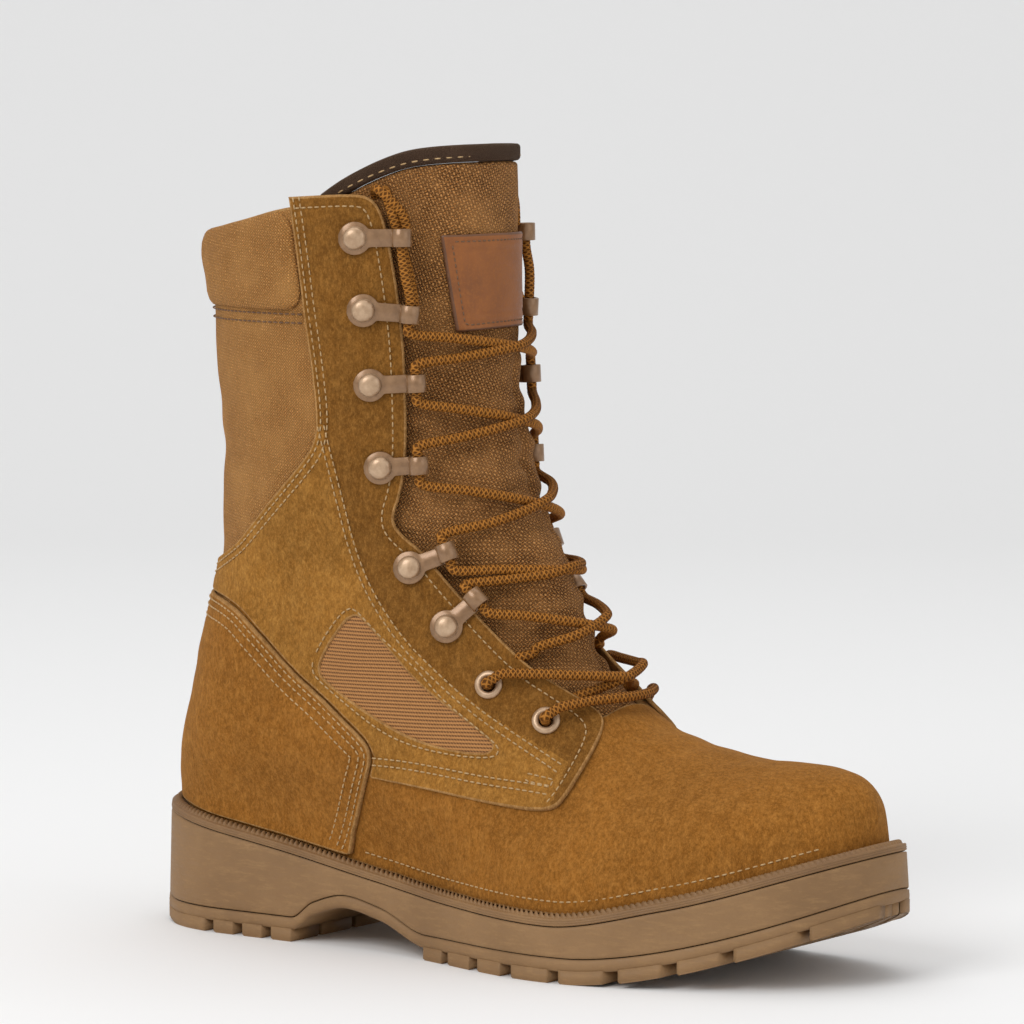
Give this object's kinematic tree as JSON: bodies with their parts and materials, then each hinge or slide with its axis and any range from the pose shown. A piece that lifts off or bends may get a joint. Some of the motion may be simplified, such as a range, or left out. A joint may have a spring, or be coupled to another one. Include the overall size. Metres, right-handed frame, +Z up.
{
  "type": "combat boot",
  "caption": "Right laced combat boot with a tall hollow shaft, suede panels, woven fabric back, padded tongue, lace loops and eyelets, and a lugged rubber sole with a raised heel.",
  "frame": {"origin": "on the floor, under the middle of the boot's box", "axes": "+X to the toe, +Y to the inner side of the foot, +Z up the shaft"},
  "size_m": [0.3066, 0.1134, 0.2947],
  "materials": {
    "sole": "matte moulded tan rubber",
    "welt": "matte ribbed tan rubber",
    "lining": "soft woven lining",
    "suede": "napped golden brown suede",
    "suede_dark": "napped olive brown suede",
    "fabric": "coarse woven synthetic fabric",
    "binding": "dark brown woven tape",
    "label": "smooth plain leather",
    "hardware": "satin taupe lacquer",
    "rivet": "satin pale taupe lacquer",
    "lace": "round braided cord with dark flecks"
  },
  "bodies": {
    "root": {"outsole": "sole", "midsole": "sole", "welt": "welt", "insole": "lining", "upper": "suede", "quarter_outer": "suede_dark", "quarter_inner": "suede_dark", "heel_counter": "suede", "collar_cuff": "fabric", "tongue": "fabric", "tongue_binding": "binding", "tongue_label": "label", "hook_outer_1": "hardware", "hook_outer_2": "hardware", "hook_outer_3": "hardware", "hook_outer_4": "hardware", "hook_outer_5": "hardware", "hook_outer_6": "hardware", "hook_inner_1": "hardware", "hook_inner_2": "hardware", "hook_inner_3": "hardware", "hook_inner_4": "hardware", "hook_inner_5": "hardware", "hook_inner_6": "hardware", "rivet_outer_1": "rivet", "rivet_outer_2": "rivet", "rivet_outer_3": "rivet", "rivet_outer_4": "rivet", "rivet_outer_5": "rivet", "rivet_outer_6": "rivet", "rivet_inner_1": "rivet", "rivet_inner_2": "rivet", "rivet_inner_3": "rivet", "rivet_inner_4": "rivet", "rivet_inner_5": "rivet", "rivet_inner_6": "rivet", "eyelet_outer_1": "hardware", "eyelet_outer_2": "hardware", "eyelet_inner_1": "hardware", "eyelet_inner_2": "hardware", "lace_riser_outer": "lace", "lace_riser_inner": "lace", "lace_crossing_1": "lace", "lace_crossing_2": "lace", "lace_crossing_3": "lace", "lace_crossing_4": "lace", "lace_crossing_5": "lace", "lace_crossing_6": "lace", "lace_bar": "lace"}
  },
  "joints": []
}
